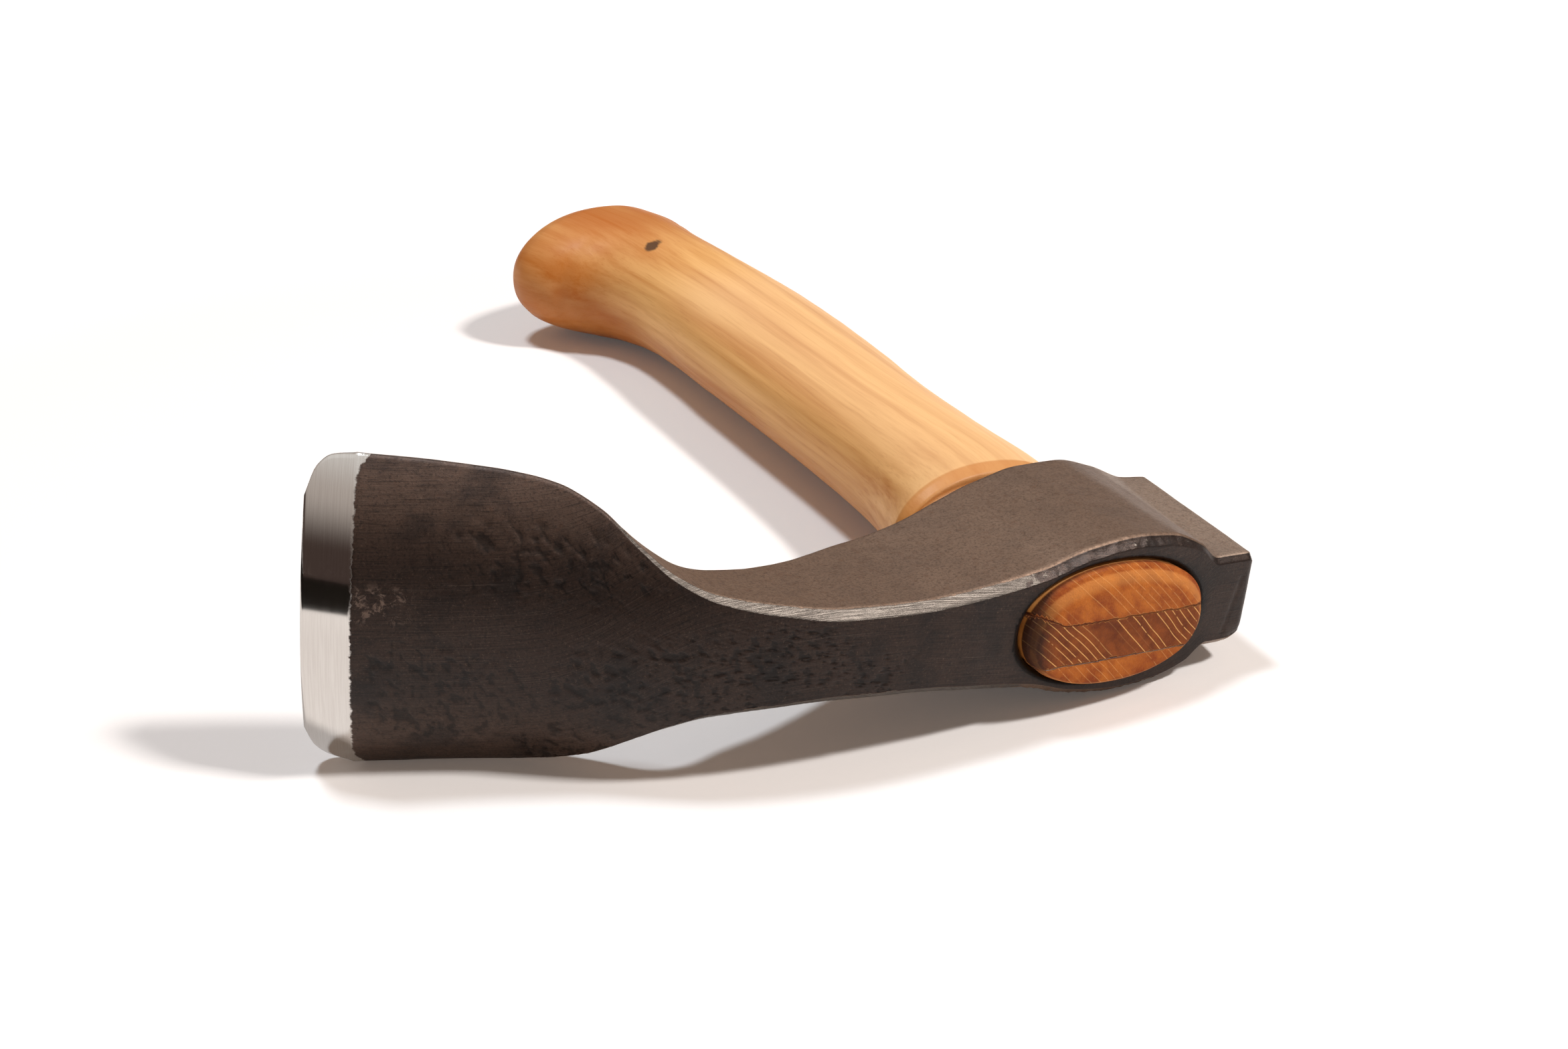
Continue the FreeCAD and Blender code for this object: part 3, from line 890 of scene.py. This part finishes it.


# %% [markdown]
# On the tongue's sawn end the fibres stand open, so it drinks most oil. It is dark, blotched and crossed by
# broken pale rays, with a painted highlight on its bevelled edge. It is darker at the end nearer the blade
# and round the rim. This is partly dark, torn fibre and partly painted shade from the eye's wall.

# %% Sawn end grain, and the whole finish
def sawn_end(tree, pale, dark, ray_turn, ray_strength):
    """Colour of the sawn end, the mask that says where it is, and its relief."""
    gx, gy, gz = split(stored(tree, "grain"))
    c, s = math.cos(math.radians(ray_turn)), math.sin(math.radians(ray_turn))
    along_ray = gx * c + gz * s
    across_ray = gz * c - gx * s + along_ray * along_ray * 0.002
    flat = joined(gx, gz, 0.0)
    phase = across_ray * 0.78 + grain_noise(flat, 0.10, 1.0) * 0.7
    number = phase.math("FLOOR")
    strength = make(tree, "ShaderNodeTexWhiteNoise", {"W": number}, noise_dimensions="1D")
    off_centre = abs(phase - number - 0.5)
    broken = grain_noise(flat, 0.5, 2.0)
    rays = off_centre.step(0.10, 0.03) * strength.step(0.05, 0.6) * broken.step(0.32, 0.44) * ray_strength
    pores = grain_noise(joined(gx, gz, gy * 0.2), 3.0, 3.0, 0.7)
    blotch = grain_noise(joined(gx, gz, gy), 0.20, 4.0, 0.6)
    patch = grain_noise(joined(along_ray * 0.12, across_ray * 0.35, 0.0), 1.0, 2.0)
    shade = blotch.step(0.38, 0.62) * 0.45 + patch.step(0.4, 0.6) * 0.35 + pores.step(0.35, 0.65) * 0.2
    colour = mix(mix(pale, dark, shade), "F0B870", rays)
    # Painted highlight: the bevelled edge round the sawn end is painted paler, as light from above catches
    # it.
    painted_chamfer_highlight = abs(gy + 1.9).step(0.6, 0.3)
    colour = mix(colour, "E09A52", painted_chamfer_highlight * 0.4)
    # Partly dark, torn fibre and partly painted shade: the end nearer the blade and the rim by the eye are
    # darkened.
    torn_fibre_and_rim_shade = ((gx * -1.0).step(14.0, 19.5) + gy.step(-1.2, 0.2) * 0.6) * (blotch + 0.4)
    colour = mix(colour, "2C1406", torn_fibre_and_rim_shade.math("MINIMUM", 0.9))
    return colour, gy.step(0.8, 0.3), pores * 1.2 + rays * 0.8


def oiled_wood(name, pale, deep, end_pale, end_dark, ray_strength, ray_turn=-42):
    material, tree = new_material(name)
    colour, streaks, fine = side_grain(tree, pale, deep)
    sawn, end, relief = sawn_end(tree, end_pale, end_dark, ray_turn, ray_strength)
    colour = mix(colour, sawn, end)
    height = fine * 0.35 + streaks * 0.3 + relief * end
    roughness = streaks * 0.15 + fine * 0.1 + end * 0.2 + 0.33
    return surface(material, colour, roughness, height, bump_mm=0.12, specular=0.2, coat=0.03,
                   coat_roughness=0.3)


handle_wood = oiled_wood("oiled_handle_wood", "E8B674", "BD7B36", "BE6C26", "84380E", 0.3)
wedge_wood = oiled_wood("dark_wedge_wood", "C98B50", "9C5F2E", "8F4A1A", "602A0A", 0.9)
print("wood has", len(handle_wood.node_tree.nodes), "nodes")

# %% [markdown]
# The tree makes the whole handle at once. Its points are then carried from tool millimetres
# into the frame, and its normals are made to face outward.

# %% Make the handle
def lay_in_frame(piece):
    """Moves a mesh made in tool millimetres to its place in the frame."""
    count = len(piece.data.vertices)
    points = np.zeros(count * 3, np.float32)
    piece.data.vertices.foreach_get("co", points)
    piece.data.vertices.foreach_set("co", placed(points.reshape(-1, 3).astype(float)).ravel())
    piece.data.update()


def face_outward(piece):
    """Turns every face outward, and says whether the piece is closed."""
    shape = bmesh.new()
    shape.from_mesh(piece.data)
    bmesh.ops.recalc_face_normals(shape, faces=shape.faces)
    if shape.calc_volume(signed=True) < 0:
        bmesh.ops.reverse_faces(shape, faces=shape.faces)
    shape.to_mesh(piece.data)
    open_edges = sum(not e.is_manifold for e in shape.edges)
    print(piece.name, len(shape.faces), "faces,", open_edges, "open edges,",
          round(shape.calc_volume() * 1e9), "mm3")
    shape.free()


points_round = 144
handle = run_tree("carved_handle", handle_tree(last_row, points_round), handle_wood)
lay_in_frame(handle)
face_outward(handle)

# %% [markdown]
# ## The wedge and its slot
#
# A saw kerf in the tongue takes a wooden wedge, which spreads it in the eye. The wedge is the
# same oval wood, cut to a thin prism. Riven wood never splits dead straight, so the prism's
# faces wander a little, and one end of the slot has torn open.

# %% Cut the slot and fill it with the wedge
wedge_thickness = 8.2
wedge_tip = 1.6
wedge_depth = 34.0
wedge_offset = -2.2
wedge_clearance = 0.05
tear, wander = 2.6, 0.22


def prism(name, clearance):
    """The wedge's own shape before it is trimmed to the oval, grown by a clearance."""
    steps = 90
    half_long = eye_length / 2 + 4
    sections = []
    for i in range(steps + 1):
        x = between(-half_long, half_long, i / steps)
        torn = tear * float(ramp(x, -12, -20))
        top, low = [], []
        for y, thickness in ((-tongue_proud - 3, wedge_thickness), (-tongue_proud, wedge_thickness),
                             (wedge_depth + clearance, wedge_tip)):
            upper = wander * noise.noise(Vector((x * 0.35, y * 0.1, 3.1)))
            lower = 0.2 * noise.noise(Vector((x * 0.3, y * 0.1, 8.3)))
            near_face = 1 - float(ramp(y, -2, 6))
            top.append((x, y, wedge_offset + thickness / 2 + upper + torn * near_face + clearance))
            low.append((x, y, wedge_offset - thickness / 2 + lower - clearance))
        sections.append(np.array(top + low[::-1]))
    return plug(name, sections)


wedge = add_object("end_wedge", handle.data.copy())
slot_tool = prism("slot_tool", wedge_clearance)
face_outward(slot_tool)
cut(handle, slot_tool)
wedge_tool = prism("wedge_tool", 0.0)
face_outward(wedge_tool)
cut(wedge, wedge_tool, "INTERSECT")
wedge.data.materials.clear()
wedge.data.materials.append(wedge_wood)
for piece in (handle, wedge):
    piece.data.shade_smooth()
    face_outward(piece)

# %% [markdown]
# ## Steel
#
# One material covers the head, because it is one piece of steel with three finishes. The skin
# is brown-black forge scale, brushed lengthwise and pitted. The chamfers were filed bright and
# keep the file's scratches. The bevel is ground along the edge and nearly a mirror. The masks
# stored on the mesh say which finish is where, and noise frays their borders.

# %% Forge scale
def forge_scale(tree, here, place, girth, stretch):
    """The black skin's colour, its roughness, one of its noises, and its relief."""
    tx, ty, tz = split(here)
    brushed = grain_noise(joined(place * 0.12, girth * 3.2, 0.0), 1.0, 4.0, 0.75)
    broad = grain_noise(here, 0.09, 4.0, 0.65)
    mottle = grain_noise(here, 0.8, 5.0, 0.65)
    grit = grain_noise(here, 2.2, 4.0, 0.75)

    # Painted light: the upper side is painted paler than the front, as the light from above falls on it. The
    # blade is painted paler toward its two sides, as a reflection of the sheet and the room.
    side = stretch.step(12.0, 15.0)
    front_only = (side * -0.75) + 1.0
    # Painted light: paler on the upper side, where light from above falls, and darker on the front.
    skin = mix("2E2019", mix("7A6352", "9A8676", tx.step(22, 27)), side)
    # Painted reflection: the blade is painted paler toward its two sides.
    painted_edge_reflection = abs(tz).step(9.0, 27.0) * tx.step(-60, -95)
    skin = mix(skin, "6E584C", painted_edge_reflection * 0.5)
    lines = grain_noise(joined(place * 0.03, girth * 6.0, 0.0), 1.0, 2.0, 0.6)
    skin = mix(skin, "6E6056", lines.step(0.55, 0.75) * 0.22)
    for tint, share in (("9C9EA8", broad.step(0.45, 0.65) * 0.7 * front_only),
                        ("FFE0C8", mottle.step(0.5, 0.8) * 0.5),
                        ("6E6660", brushed.step(0.48, 0.66) * 0.6 * front_only),
                        ("5A544E", grit.step(0.50, 0.66) * 0.6 * front_only),
                        ("A29A94", mottle.step(0.45, 0.65) * 0.25 * side),
                        ("8E8680", grit.step(0.45, 0.65) * 0.5 * side)):
        skin = times(skin, tint, share)
    skin = mix(skin, "8A7462", grit.step(0.42, 0.28) * 0.2)

    # A ring of painted shade darkens the steel round the eye, where the tongue stands proud of it, and the
    # pits are darker.
    ring_long, ring_short = 20.5, 11.8
    over_eye = abs(tx / ring_long) ** oval_power + abs(tz / ring_short) ** oval_power
    over_eye = over_eye ** (1 / oval_power)
    painted_eye_shade = (over_eye + (mottle - 0.5) * 0.25).step(1.17, 1.03) * ty.step(5.0, 2.0)
    skin = times(skin, "2A2624", painted_eye_shade * 0.85)
    skin = times(skin, "5A524C", stored(tree, "pits", "Fac").step(0.1, 1.0) * 0.6)
    rough = mottle * 0.16 + brushed * 0.1 + 0.26 + side * 0.08
    return skin, rough, mottle, mottle * 0.6 + grit * 0.5 + brushed * 0.5


# %% [markdown]
# The bevel's border wanders a little, as a grinder leaves it, and bends at the blade's two
# corners. Just behind it, at mid-blade, scale has flaked off and left paler spots.

# %% Filed chamfers, ground bevel, and the whole finish
def forged_steel():
    material, tree = new_material("forged_steel")
    here = stored(tree, "tool")
    tz = split(here)[2]
    place, girth, stretch = split(stored(tree, "lengthwise"))
    skin, skin_rough, mottle, skin_relief = forge_scale(tree, here, place, girth, stretch)

    scratch = grain_noise(joined(place * 0.05, girth * 5.0, 0.0), 1.0, 3.0, 0.8)
    filed_wear = grain_noise(here, 0.5, 4.0, 0.7)
    # The filed mask also carries the painted highlights on the hammered chamfers.
    filed = (stored(tree, "filed", "Fac") * 1.25 - filed_wear.step(0.45, 0.75) * 0.45).step(0.35, 0.6)
    bright = mix("3E3833", "78716A", scratch.step(0.38, 0.66))
    colour = mix(skin, bright, filed)

    stroke = grain_noise(joined(place * 4.0, tz * 0.08, 0.0), 1.0, 4.0, 0.7)
    fray = grain_noise(joined(place * 0.5, tz * 0.8, 0.0), 1.0, 5.0, 0.7)
    corner = (abs(tz) - 24.5).math("MAXIMUM", 0.0)
    heel = place - corner * corner * 0.12 + (fray - 0.5) * 1.8
    ground = heel.step(0.30, -0.10) * stored(tree, "ground", "Fac").math("MAXIMUM", place.step(4.5, 4.0))
    polished = mix("C9C4BF", "D2CEC9", stroke.step(0.35, 0.65))
    colour = mix(colour, polished, ground)

    flake = grain_noise(here, 0.55, 5.0, 0.75, 0.6)
    near_heel = place.step(0.2, 1.0) * place.step(11.5, 7.0)
    mid_blade = abs(tz - 5.5).step(4.5, 1.0)
    flakes = flake.step(0.50, 0.62) * near_heel * mid_blade
    colour = mix(colour, "8F796C", flakes * 0.5)

    roughness = skin_rough + (scratch * 0.15 + 0.30 - skin_rough) * filed
    roughness = roughness + (stroke * 0.06 + 0.06 - roughness) * ground
    roughness = roughness + flakes * 0.2
    height = skin_relief + (scratch * 0.7 - mottle * 0.3) * filed + flakes * 0.6
    height = height + (stroke * 0.03 - height) * place.step(1.2, -0.6)
    metal = ground * 0.45 + filed * 0.3 + 0.55
    return surface(material, colour, roughness, height, metal=metal, bump_mm=0.08)


steel = forged_steel()
adze_head.data.materials.clear()
adze_head.data.materials.append(steel)
print("steel has", len(steel.node_tree.nodes), "nodes")

# %% [markdown]
# ## Pieces and bodies
#
# Each new piece stands for a node of the construction model and rides on its body.

# %% Put the pieces in place of the construction model
for piece, node_name, slot_name in ((adze_head, "adze_head", "forged_steel"),
                                    (handle, "handle", "handle_wood"),
                                    (wedge, "wedge", "wedge_wood")):
    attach(piece, "root")
    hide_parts(node_name)
    print(piece.name, "stands for", node_name)

# %% [markdown]
# ## The white sheet
#
# The tool lies on a large white sheet. A diffuse shader takes the shadows. A little emission,
# seen only by the camera and by reflections, grows away from the tool and lifts the sheet to
# white without throwing more light on the steel.

# %% Lay the sheet
def ray_is(tree, kind):
    """1 for light rays of one kind, such as those from the camera, and 0 for others."""
    return make(tree, "ShaderNodeLightPath", output="Is " + kind + " Ray")


sheet_half = 3.0
near_tool, far_off = 0.16, 0.55
floor = mesh_object("white_sheet", [(-sheet_half, -sheet_half, 0), (sheet_half, -sheet_half, 0),
                                    (sheet_half, sheet_half, 0), (-sheet_half, sheet_half, 0)],
                    [(0, 1, 2, 3)])
paper, tree = new_material("white_paper")
shown = ray_is(tree, "Camera") + ray_is(tree, "Glossy") + ray_is(tree, "Transmission")
spot = make(tree, "ShaderNodeTexCoord", output="Object")
white = mix((0.87, 0.87, 0.87, 1.0), (0.89, 0.89, 0.89, 1.0), grain_noise(spot, 900.0))
matte = make(tree, "ShaderNodeBsdfDiffuse", {"Color": white})
away = make(tree, "ShaderNodeVectorMath", (spot,), output="Value", operation="LENGTH")
strength = shown.math("MINIMUM", 1.0) * (away.step(near_tool, far_off) * 0.94 + 0.06)
lift = make(tree, "ShaderNodeEmission", {"Color": (1.0, 1.0, 1.0, 1.0), "Strength": strength})
end_tree(make(tree, "ShaderNodeAddShader", (matte, lift)))
floor.data.materials.append(paper)
floor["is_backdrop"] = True
print("sheet:", 2 * sheet_half, "m square")

# %% [markdown]
# ## Lamps
#
# Two soft lamps cast the tool's two shadows. The stronger, warmer one stands in front and to
# the right. The weaker, cooler one hangs almost overhead, a little behind and to the left.

# %% Hang the lamps
def soft_lamp(name, place, width, watts, colour):
    """A square lamp that faces the tool."""
    lamp = bpy.data.lights.new(name, "AREA")
    lamp.size = width
    lamp.energy = watts
    lamp.color = colour
    piece = add_object(name, lamp)
    piece.location = place
    piece.rotation_euler = (-Vector(place)).to_track_quat("-Z", "Y").to_euler()
    print(name, "hangs", round(Vector(place).length, 2), "m away")


soft_lamp("key_lamp", (0.62, -0.68, 1.20), 0.16, 16.6, (1.0, 0.94, 0.90))
soft_lamp("side_lamp", (-0.18, 0.21, 1.30), 0.20, 9.0, (0.88, 0.94, 1.0))

# %% [markdown]
# ## Dark cards
#
# Polished steel shows what stands round it, and in an all-white room it would look flat. So two
# low, dark cards stand where only mirror reflections see them.

# %% Stand the cards
def reflected_card(name, left, right, height):
    card = mesh_object(name, [(*left, 0), (*right, 0), (*right, height), (*left, height)], [(0, 1, 2, 3)])
    material, tree = new_material(name)
    speckle = grain_noise(make(tree, "ShaderNodeTexCoord", output="Object"), 40.0)
    black = mix((0.010, 0.009, 0.008, 1.0), (0.016, 0.014, 0.012, 1.0), speckle)
    end_tree(make(tree, "ShaderNodeBsdfDiffuse", {"Color": black}))
    card.data.materials.append(material)
    card.visible_camera = card.visible_diffuse = card.visible_shadow = card.visible_transmission = False
    card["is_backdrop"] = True
    print(name, "is", round(height * 1000), "mm high")


reflected_card("card_left", (-0.22, -0.42), (-0.22, 0.06), 0.038)
reflected_card("card_front", (-0.42, -0.44), (0.25, -0.50), 0.115)

# %% [markdown]
# ## The room
#
# The world is plain white where the camera sees it. Mirror reflections see a room that is dark
# low down and pale above. All other light from it is a dim, warm glow, which sets how deep the
# shadows are.

# %% Light the room
ambient = (0.225, 0.145, 0.095, 1.0)
world = bpy.data.worlds.new("room")
bpy.context.scene.world = world
world.use_nodes = True
tree = world.node_tree
tree.nodes.clear()
upward = split(make(tree, "ShaderNodeTexCoord", output="Generated"))[2]
low_room = mix((0.075, 0.052, 0.045, 1.0), (0.60, 0.54, 0.50, 1.0), upward.step(0.20, 0.58))
room = mix(low_room, (0.95, 0.93, 0.91, 1.0), upward.step(0.55, 0.85))
colour = mix(ambient, room, ray_is(tree, "Glossy"))
colour = mix(colour, (1.0, 1.0, 1.0, 1.0), ray_is(tree, "Camera"))
end_tree(make(tree, "ShaderNodeBackground", {"Color": colour, "Strength": 1.0}), "ShaderNodeOutputWorld")
print("room:", len(tree.nodes), "nodes")

# %% [markdown]
# ## The camera
#
# It looks down at the blade from close by, so that the handle runs away from it. Three turns
# aim it: yaw about the upright, pitch below the level, and a slight roll.

# %% Set up the camera
yaw, pitch, roll = (math.radians(v) for v in (29.47, 24.66, -0.36))
camera_place = Vector((-0.15784, -0.37429, 0.18058))
camera_data = bpy.data.cameras.new("camera")
camera_data.sensor_width = 36
camera_data.lens = 43.85
camera_data.clip_start = 0.01
camera = add_object("camera", camera_data)
turned = Matrix.Rotation(-yaw, 3, "Z") @ Matrix.Rotation(-pitch, 3, "X") @ Matrix.Rotation(roll, 3, "Y")
right, forward, above = (turned.col[i] for i in range(3))
camera.matrix_world = (Matrix.Translation(camera_place)
                       @ Matrix((right, above, -forward)).transposed().to_4x4())
bpy.context.scene.camera = camera
bpy.context.scene.view_settings.view_transform = "Standard"
print("camera at", [round(v, 2) for v in camera_place], "m")

# %% [markdown]
# ## Both boxes
#
# Both boxes are written down: the construction model's, and that of what is seen. The second
# has to lie inside the first.

# %% Write both boxes and finish
visual_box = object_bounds()
for name, corner in (("cad", cad_box), ("visual", visual_box)):
    print(name, [[round(v * 1000, 2) for v in c] for c in corner])
